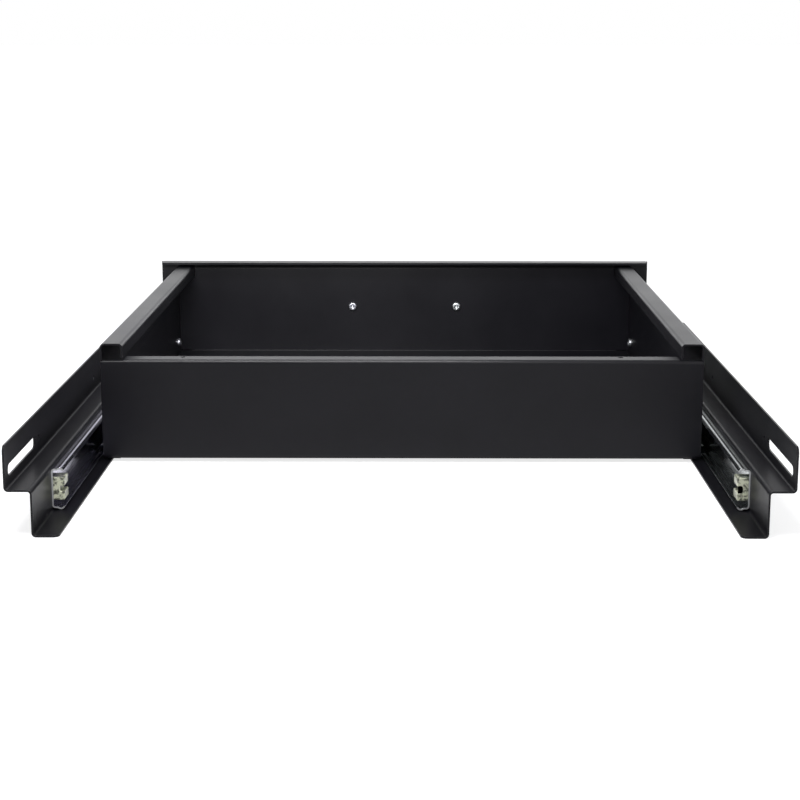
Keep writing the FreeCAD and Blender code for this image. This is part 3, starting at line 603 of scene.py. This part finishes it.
def new_group(name, inputs, outputs):
    """An empty node group with its sockets; returns the tree and its two end nodes."""
    tree = bpy.data.node_groups.new(name, "ShaderNodeTree")
    for label, kind, default in inputs:
        socket = tree.interface.new_socket(name=label, in_out="INPUT", socket_type=kind)
        socket.default_value = default
    for label, kind in outputs:
        tree.interface.new_socket(name=label, in_out="OUTPUT", socket_type=kind)
    return tree, add(tree, "NodeGroupInput"), add(tree, "NodeGroupOutput")


def softened(tree, given):
    """The normal with its edges rounded by the group's edge radius."""
    soft = add(tree, "ShaderNodeBevel", samples=4)
    feed(tree, soft, Radius=given.outputs["Edge radius"])
    return soft.outputs["Normal"]


def raise_grain(tree, given, out, soft, main, second):
    """Bump the softened normal by 0.7 of the main pattern and 0.3 of the second."""
    height = maths(tree, "ADD", maths(tree, "MULTIPLY", main, 0.7),
                   maths(tree, "MULTIPLY", second, 0.3))
    bump = add(tree, "ShaderNodeBump")
    feed(tree, bump, Strength=1.0, Distance=given.outputs["Height"], Height=height, Normal=soft)
    tree.links.new(bump.outputs["Normal"], out.inputs["Normal"])


def powder_group():
    """Powder coat: orange peel and fine grain, faint clouds of tone, softened edges, and a painted
    highlight of lighter tone along the edges.
    """
    tree, given, out = new_group("Powder grain", (
        ("Colour", "NodeSocketColor", (0.02, 0.02, 0.02, 1)),
        ("Peel per metre", "NodeSocketFloat", 900.0),
        ("Grain per metre", "NodeSocketFloat", 3200.0),
        ("Roughness", "NodeSocketFloat", 0.45),
        ("Height", "NodeSocketFloat", 0.00003),
        ("Edge radius", "NodeSocketFloat", 0.0004),
    ), (
        ("Colour", "NodeSocketColor"),
        ("Roughness", "NodeSocketFloat"),
        ("Normal", "NodeSocketVector"),
    ))
    spot = add(tree, "ShaderNodeTexCoord").outputs["Object"]
    peel = noise(tree, spot, given.outputs["Peel per metre"])
    grain = noise(tree, spot, given.outputs["Grain per metre"], 3.0, 0.6)
    cloud = noise(tree, spot, 14.0, 3.0, 0.55)
    speck = ranged(tree, noise(tree, spot, 1500.0, 2.0, 0.7), 0.70, 0.78)

    soft = softened(tree, given)
    same = add(tree, "ShaderNodeVectorMath", operation="DOT_PRODUCT")
    tree.links.new(soft, same.inputs[0])
    tree.links.new(add(tree, "ShaderNodeNewGeometry").outputs["Normal"], same.inputs[1])
    # Edge mask: the edges get a painted highlight of lighter tone, varied by the clouds, and a
    # little less roughness
    edge = ranged(tree, same.outputs["Value"], 0.99, 0.80)
    edge = maths(tree, "MULTIPLY", edge, ranged(tree, cloud, 0.35, 0.65, 0.25, 1.0))

    lighter = maths(tree, "ADD", ranged(tree, cloud, 0.3, 0.7, 0.0, 0.35),
                    maths(tree, "MULTIPLY", speck, 0.35))
    tone = mixed(tree, lighter, given.outputs["Colour"], POWDER_CLOUD)
    tone = mixed(tree, maths(tree, "MULTIPLY", edge, 0.55), tone, POWDER_EDGE_HIGHLIGHT)
    tree.links.new(tone, out.inputs["Colour"])

    rough = varied(tree, given.outputs["Roughness"], grain, 0.22)
    rough = varied(tree, rough, cloud, 0.10)
    rough = maths(tree, "SUBTRACT", rough, maths(tree, "MULTIPLY", edge, 0.08), clamp=True)
    tree.links.new(rough, out.inputs["Roughness"])

    raise_grain(tree, given, out, soft, peel, grain)
    return tree


def plating_group():
    """Zinc plating: drawn lines along one axis, mottle, tints, rough sheared ends, soft edges."""
    tree, given, out = new_group("Zinc plating", (
        ("Colour", "NodeSocketColor", (0.66, 0.68, 0.71, 1)),
        ("Cool", "NodeSocketColor", (0.6, 0.6, 0.75, 1)),
        ("Warm", "NodeSocketColor", (0.68, 0.72, 0.62, 1)),
        ("Tint", "NodeSocketFloat", 0.5),
        ("Lines along", "NodeSocketVector", (1.0, 0.02, 1.0)),
        ("Lines per metre", "NodeSocketFloat", 2600.0),
        ("Roughness", "NodeSocketFloat", 0.22),
        ("Height", "NodeSocketFloat", 0.00001),
        ("Edge radius", "NodeSocketFloat", 0.0002),
        ("Sheared ends", "NodeSocketFloat", 0.0),
    ), (
        ("Colour", "NodeSocketColor"),
        ("Roughness", "NodeSocketFloat"),
        ("Metallic", "NodeSocketFloat"),
        ("Normal", "NodeSocketVector"),
    ))
    spot = add(tree, "ShaderNodeTexCoord").outputs["Object"]
    stretch = add(tree, "ShaderNodeVectorMath", operation="MULTIPLY")
    tree.links.new(spot, stretch.inputs[0])
    tree.links.new(given.outputs["Lines along"], stretch.inputs[1])
    lines = noise(tree, stretch.outputs[0], given.outputs["Lines per metre"], 3.0, 0.6)
    mottle = noise(tree, spot, 620.0, 3.0, 0.65)
    cloud = noise(tree, spot, 26.0)

    tint = mixed(tree, ranged(tree, cloud, 0.40, 0.60), given.outputs["Cool"],
                 given.outputs["Warm"])
    tone = mixed(tree, given.outputs["Tint"], given.outputs["Colour"], tint)
    dull = maths(tree, "MULTIPLY", ranged(tree, mottle, 0.45, 0.75), 0.35)
    tone = mixed(tree, dull, tone, ZINC_DULL)

    facing = add(tree, "ShaderNodeSeparateXYZ")
    tree.links.new(add(tree, "ShaderNodeTexCoord").outputs["Normal"], facing.inputs[0])
    sheared = ranged(tree, maths(tree, "ABSOLUTE", facing.outputs["Y"]), 0.90, 0.98)
    sheared = maths(tree, "MULTIPLY", sheared, given.outputs["Sheared ends"])
    tone = mixed(tree, sheared, tone, ZINC_SHEARED)
    tree.links.new(tone, out.inputs["Colour"])
    tree.links.new(ranged(tree, sheared, 0.0, 1.0, 1.0, 0.4), out.inputs["Metallic"])

    rough = varied(tree, given.outputs["Roughness"], lines, 0.16)
    rough = maths(tree, "ADD", rough, maths(tree, "MULTIPLY", dull, 0.4))
    rough = maths(tree, "ADD", rough, maths(tree, "MULTIPLY", sheared, 0.25), clamp=True)
    tree.links.new(rough, out.inputs["Roughness"])

    raise_grain(tree, given, out, softened(tree, given), mottle, lines)
    return tree


def shared_group(name, build):
    """The named node group, made the first time it is asked for."""
    return bpy.data.node_groups.get(name) or build()


def new_material(name):
    """A material with a bare Principled BSDF; returns the material, its tree and the shader."""
    material = bpy.data.materials.new(name)
    material.use_nodes = True
    tree = material.node_tree
    return material, tree, tree.nodes["Principled BSDF"]


def opaque(colour):
    """A colour with its alpha."""
    return (*colour, 1.0)


def powder_material(name, colour, **finish):
    """Powder coat with its own grain values, given by the group's inputs."""
    material, tree, shader = new_material(name)
    grain = add(tree, "ShaderNodeGroup")
    grain.node_tree = shared_group("Powder grain", powder_group)
    feed(tree, grain, Colour=opaque(colour), **finish)
    feed(tree, shader, Base_Color=grain.outputs["Colour"],
         Roughness=grain.outputs["Roughness"], Normal=grain.outputs["Normal"])
    shader.inputs["IOR"].default_value = 1.32
    return material


def plating_material(name, plain, cool, warm, metal=1.0, **finish):
    """Plated or bare steel in its plain, cool and warm tones; the rest are group inputs.

    Where the ends of the sheet are sheared, the group lowers the metal there.
    """
    material, tree, shader = new_material(name)
    plating = add(tree, "ShaderNodeGroup")
    plating.node_tree = shared_group("Zinc plating", plating_group)
    feed(tree, plating, Colour=opaque(plain), Cool=opaque(cool), Warm=opaque(warm), **finish)
    feed(tree, shader, Base_Color=plating.outputs["Colour"],
         Roughness=plating.outputs["Roughness"], Normal=plating.outputs["Normal"])
    if "Sheared_ends" in finish:
        metal = plating.outputs["Metallic"]
    feed(tree, shader, Metallic=metal)
    return material


def plastic_material(colour):
    """Pale moulded plastic: milky, with flow marks and a fine spark-eroded skin."""
    material, tree, shader = new_material("Pale plastic")
    spot = add(tree, "ShaderNodeTexCoord").outputs["Object"]
    flow = noise(tree, spot, 380.0, 3.0, 0.6)
    skin = noise(tree, spot, 1500.0)
    tone = mixed(tree, ranged(tree, flow, 0.42, 0.62), opaque(colour), PLASTIC_FLOW)
    bump = add(tree, "ShaderNodeBump")
    feed(tree, bump, Strength=1.0, Distance=0.00008, Height=skin)
    feed(tree, shader, Base_Color=tone, Roughness=ranged(tree, flow, 0.3, 0.7, 0.16, 0.34),
         Normal=bump.outputs["Normal"])
    return material


def shared_material(name, build, *tones, **finish):
    """The named material, made the first time it is asked for."""
    return bpy.data.materials.get(name) or build(name, *tones, **finish)


def powder_coat():
    """The coat of brackets, box and panel."""
    colours = bpy.context.scene.rack_drawer_colours
    return shared_material("Black powder coat", powder_material, colours.powder,
                           Roughness=0.36, Height=0.000022, Edge_radius=0.0004)


def fastener_zinc():
    """Bright zinc of screws and nuts, with no direction to its marks."""
    colours = bpy.context.scene.rack_drawer_colours
    return shared_material("Bright zinc", plating_material, colours.zinc, colours.zinc_cool,
                           colours.zinc_warm, Tint=0.25, Lines_along=NO_LINES, Roughness=0.30,
                           Height=0.000006, Edge_radius=0.0001)


def dress(node, material):
    """Give a node's own mesh one material."""
    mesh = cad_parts[node].data
    mesh.materials.clear()
    mesh.materials.append(material)


# Operators

class RACKDRAWER_OT_coat_brackets(bpy.types.Operator):
    """Powder coat the two rack brackets"""

    bl_idname = "rackdrawer.coat_brackets"
    bl_label = "Coat brackets"

    def execute(self, context):
        for side in SIDES:
            dress("bracket_" + side, powder_coat())
        return {"FINISHED"}


class RACKDRAWER_OT_coat_box(bpy.types.Operator):
    """Powder coat the walls, floor and front panel of the drawer"""

    bl_idname = "rackdrawer.coat_box"
    bl_label = "Coat box"

    def execute(self, context):
        for node in ("side_wall_left", "side_wall_right", "drawer_floor", "rear_wall",
                     "front_wall", "front_panel"):
            dress(node, powder_coat())
        return {"FINISHED"}


class RACKDRAWER_OT_plate_slides(bpy.types.Operator):
    """Zinc plate the channels and runners, and give the ball cages their oiled steel"""

    bl_idname = "rackdrawer.plate_slides"
    bl_label = "Plate slides"

    def execute(self, context):
        colours = context.scene.rack_drawer_colours
        for side, tone in (("left", colours.zinc_warm), ("right", colours.zinc_cool)):
            rolled = plating_material("Rolled zinc " + side, colours.zinc, tone, tone, Tint=0.7,
                                      Lines_along=ALONG_SLIDE, Roughness=0.13, Height=0.000004,
                                      Edge_radius=0.00025, Sheared_ends=1.0)
            dress("slide_channel_" + side, rolled)
            dress("slide_runner_" + side, rolled)
        cage = plating_material("Oiled cage steel", *[colours.cage] * 3, metal=0.9, Tint=0.0,
                                Lines_along=ALONG_CAGE, Roughness=0.34, Height=0.000010,
                                Edge_radius=0.0001)
        for side in SIDES:
            dress("ball_cage_" + side, cage)
        return {"FINISHED"}


class RACKDRAWER_OT_mould_stops(bpy.types.Operator):
    """Make the moulded end stops, notched and rounded, in their pale plastic"""

    bl_idname = "rackdrawer.mould_stops"
    bl_label = "Mould end stops"

    def execute(self, context):
        sizes = context.scene.rack_drawer_sizes
        plastic = plastic_material(context.scene.rack_drawer_colours.plastic)
        for side, sign in SIDES.items():
            node = "end_stop_" + side
            low, high = corners_of(node)
            stop = make_piece("moulded_stop_" + side, "rack_brackets", plastic,
                              [stop_grid(low, high, sign, sizes)], capped=True)
            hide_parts(node)
        return {"FINISHED"}


class RACKDRAWER_OT_roll_balls(bpy.types.Operator):
    """Make the slides' steel balls round"""

    bl_idname = "rackdrawer.roll_balls"
    bl_label = "Roll balls"

    def execute(self, context):
        colour = context.scene.rack_drawer_colours.ball
        steel = plating_material("Polished ball steel", *[colour] * 3, Tint=0.0,
                                 Lines_along=NO_LINES, Roughness=0.08, Height=0.000001,
                                 Edge_radius=0.0)
        for side in SIDES:
            node = "slide_balls_" + side
            grids = [ball_grid(low, high) for low, high in solids(node, (Y, Z), BALL_GAP)]
            balls = make_piece("round_balls_" + side, "cage_" + side, steel,
                               grids)
            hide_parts(node)
        return {"FINISHED"}


class RACKDRAWER_OT_cut_screws(bpy.types.Operator):
    """Make the screws, with cross recesses and threads"""

    bl_idname = "rackdrawer.cut_screws"
    bl_label = "Cut screws"

    def execute(self, context):
        sizes = context.scene.rack_drawer_sizes
        pan = (sizes.pan_high, sizes.pan_round)
        low_head = (sizes.low_high, sizes.low_round)
        rows = [("handle_screws", "drawer", Y, -1, pan, X)]
        for side, sign in SIDES.items():
            rows.append(("runner_screws_" + side, "drawer", X, sign, pan, Y))
            rows.append(("channel_screws_" + side, "rack_brackets", X, sign, low_head, Y))
        for node, body, axis, sign, head, apart in rows:
            grids = [screw_grid(low, high, axis, sign, *head, sizes)
                     for low, high in solids(node, (apart,), FASTENER_GAP)]
            made = make_piece("cross_" + node, body, fastener_zinc(), grids)
            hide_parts(node)
        return {"FINISHED"}


class RACKDRAWER_OT_cut_nuts(bpy.types.Operator):
    """Make the hexagon nuts outside the brackets, with chamfered corners"""

    bl_idname = "rackdrawer.cut_nuts"
    bl_label = "Cut nuts"

    def execute(self, context):
        sizes = context.scene.rack_drawer_sizes
        for side in SIDES:
            node = "channel_nuts_" + side
            grids = [nut_grid(low, high, X, sizes)
                     for low, high in solids(node, (Y,), FASTENER_GAP)]
            nuts = make_piece("hex_nuts_" + side, "rack_brackets",
                              fastener_zinc(), grids, wrap_rows=True, crease=math.radians(20))
            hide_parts(node)
        return {"FINISHED"}


class RACKDRAWER_OT_bend_handle(bpy.types.Operator):
    """Make the pull handle: one bent bar and the two collars at its feet"""

    bl_idname = "rackdrawer.bend_handle"
    bl_label = "Bend handle"

    def execute(self, context):
        sizes = context.scene.rack_drawer_sizes
        colours = context.scene.rack_drawer_colours
        coat = powder_material("Black handle coat", colours.handle, Roughness=0.34,
                               Height=0.000012, Edge_radius=0.0003)
        low, high = corners_of("pull_handle")
        level = (low[Z] + high[Z]) / 2
        inset = sizes.collar / 2
        low_bar, high_bar = low.copy(), high.copy()
        low_bar[X] += inset
        high_bar[X] -= inset
        bow = make_piece("handle_bow", "drawer", coat,
                         [bow_grid(low_bar, high_bar, level, sizes.bar, sizes.bar_bend,
                                   sizes.around)])
        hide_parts("pull_handle")
        feet = [np.array([low_bar[X], high[Y], level]), np.array([high_bar[X], high[Y], level])]
        make_piece("handle_collars", "drawer", coat,
                   [collar_grid(foot, sizes) for foot in feet], crease=math.radians(50))
        return {"FINISHED"}


class RACKDRAWER_OT_set_stage(bpy.types.Operator):
    """Lay the floor, light the room and stand the camera"""

    bl_idname = "rackdrawer.set_stage"
    bl_label = "Set stage"

    def execute(self, context):
        studio = context.scene.rack_drawer_studio
        self.lay_floor(studio, context.scene.rack_drawer_colours.floor)
        self.light_room(studio)
        self.stand_camera(studio)
        context.scene.view_settings.view_transform = "Standard"
        return {"FINISHED"}

    def lay_floor(self, studio, colour):
        """A flat sheet, far wider than the view, just under the feet; it glows a little."""
        level = CAD_BOX[0][Z] - FLOOR_DROP
        side = np.array([-FLOOR_REACH, FLOOR_REACH])
        across, along = np.meshgrid(side, side)
        points = np.stack([across, along, 0 * across + level], axis=-1).reshape(-1, 3)
        mesh = bpy.data.meshes.new("studio_floor")
        mesh.from_pydata(points.tolist(), [], [(0, 1, 3, 2)])
        material, tree, shader = new_material("Pale floor")
        seen = add(tree, "ShaderNodeLightPath").outputs["Is Camera Ray"]
        glow = maths(tree, "ADD", maths(tree, "MULTIPLY", seen, studio.seen_glow),
                     studio.floor_glow)
        feed(tree, shader, Base_Color=opaque(colour), Roughness=0.9,
             Emission_Color=WHITE, Emission_Strength=glow)
        shader.inputs["Specular IOR Level"].default_value = 0.1
        mesh.materials.append(material)
        floor = bpy.data.objects.new("studio_floor", mesh)
        bpy.context.scene.collection.objects.link(floor)

    def light_room(self, studio):
        """A room that is bright behind the panel and overhead, and dimmer at the other end."""
        world = bpy.data.worlds.new("Studio room")
        bpy.context.scene.world = world
        world.use_nodes = True
        tree = world.node_tree
        room = tree.nodes["Background"]
        way = add(tree, "ShaderNodeSeparateXYZ")
        tree.links.new(add(tree, "ShaderNodeTexCoord").outputs["Generated"], way.inputs[0])
        along = ranged(tree, way.outputs["Y"], *ROOM_ALONG, studio.before, studio.behind)
        up = ranged(tree, way.outputs["Z"], *ROOM_UP)
        level = add(tree, "ShaderNodeMix", data_type="FLOAT")
        for number, item in ((0, up), (2, along), (3, studio.above)):
            plug(tree, item, level.inputs[number])
        feed(tree, room, Color=ROOM_WHITE, Strength=level.outputs[0])
        plain = add(tree, "ShaderNodeBackground")
        feed(tree, plain, Color=WHITE, Strength=studio.backdrop)
        either = add(tree, "ShaderNodeMixShader")
        seen = add(tree, "ShaderNodeLightPath").outputs["Is Camera Ray"]
        for socket, item in zip(either.inputs, (seen, room.outputs[0], plain.outputs[0])):
            tree.links.new(item, socket)
        tree.links.new(either.outputs[0], tree.nodes["World Output"].inputs["Surface"])
        for name, place, size, aim in LAMPS:
            self.hang_lamp(name, getattr(studio, name), place, size, aim)

    def hang_lamp(self, name, power, place, size, aim):
        """A rectangular lamp that faces the aim."""
        lamp = bpy.data.lights.new(name, "AREA")
        lamp.shape = "RECTANGLE"
        lamp.size, lamp.size_y = size
        lamp.energy = power
        box = bpy.data.objects.new(name, lamp)
        box.location = place
        box.visible_camera = False
        way = Vector(aim) - Vector(place)
        box.rotation_euler = way.to_track_quat("-Z", "Y").to_euler()
        bpy.context.scene.collection.objects.link(box)

    def stand_camera(self, studio):
        """The camera stands beyond the rear wall, over its top, and looks a little down."""
        lens = bpy.data.cameras.new("camera")
        lens.lens = studio.lens
        lens.clip_end = 100
        camera = bpy.data.objects.new("camera", lens)
        down, aside = studio.camera_down, studio.camera_aside
        heading = Vector((math.sin(aside) * math.cos(down), -math.cos(aside) * math.cos(down),
                          -math.sin(down)))
        camera.location = studio.camera_place
        camera.rotation_euler = heading.to_track_quat("-Z", "Y").to_euler()
        bpy.context.scene.collection.objects.link(camera)
        bpy.context.scene.camera = camera


class RACKDRAWER_PT_panel(bpy.types.Panel):
    """Sizes, colours and steps of the rack drawer"""

    bl_idname = "RACKDRAWER_PT_panel"
    bl_label = "Rack drawer"
    bl_space_type = "VIEW_3D"
    bl_region_type = "UI"
    bl_category = "Rack drawer"

    def draw(self, context):
        for group in (context.scene.rack_drawer_sizes, context.scene.rack_drawer_colours,
                      context.scene.rack_drawer_studio):
            box = self.layout.box()
            for name in type(group).__annotations__:
                box.prop(group, name)
        for step in STEPS:
            self.layout.operator(step.bl_idname)


STEPS = (
    RACKDRAWER_OT_coat_brackets,
    RACKDRAWER_OT_coat_box,
    RACKDRAWER_OT_plate_slides,
    RACKDRAWER_OT_mould_stops,
    RACKDRAWER_OT_roll_balls,
    RACKDRAWER_OT_cut_screws,
    RACKDRAWER_OT_cut_nuts,
    RACKDRAWER_OT_bend_handle,
    RACKDRAWER_OT_set_stage,
)
CLASSES = (RackDrawerSizes, RackDrawerColours, RackDrawerStudio, *STEPS, RACKDRAWER_PT_panel)


def register():
    """Register the classes and hang the properties on the scene."""
    for item in CLASSES:
        bpy.utils.register_class(item)
    bpy.types.Scene.rack_drawer_sizes = PointerProperty(type=RackDrawerSizes)
    bpy.types.Scene.rack_drawer_colours = PointerProperty(type=RackDrawerColours)
    bpy.types.Scene.rack_drawer_studio = PointerProperty(type=RackDrawerStudio)


def unregister():
    """Take both away again."""
    del bpy.types.Scene.rack_drawer_studio
    del bpy.types.Scene.rack_drawer_colours
    del bpy.types.Scene.rack_drawer_sizes
    for item in reversed(CLASSES):
        bpy.utils.unregister_class(item)


def main():
    """Run every step in order."""
    register()
    bpy.ops.rackdrawer.coat_brackets()
    bpy.ops.rackdrawer.coat_box()
    bpy.ops.rackdrawer.plate_slides()
    bpy.ops.rackdrawer.mould_stops()
    bpy.ops.rackdrawer.roll_balls()
    bpy.ops.rackdrawer.cut_screws()
    bpy.ops.rackdrawer.cut_nuts()
    bpy.ops.rackdrawer.bend_handle()
    bpy.ops.rackdrawer.set_stage()
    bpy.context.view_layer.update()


if __name__ == "__main__":
    main()
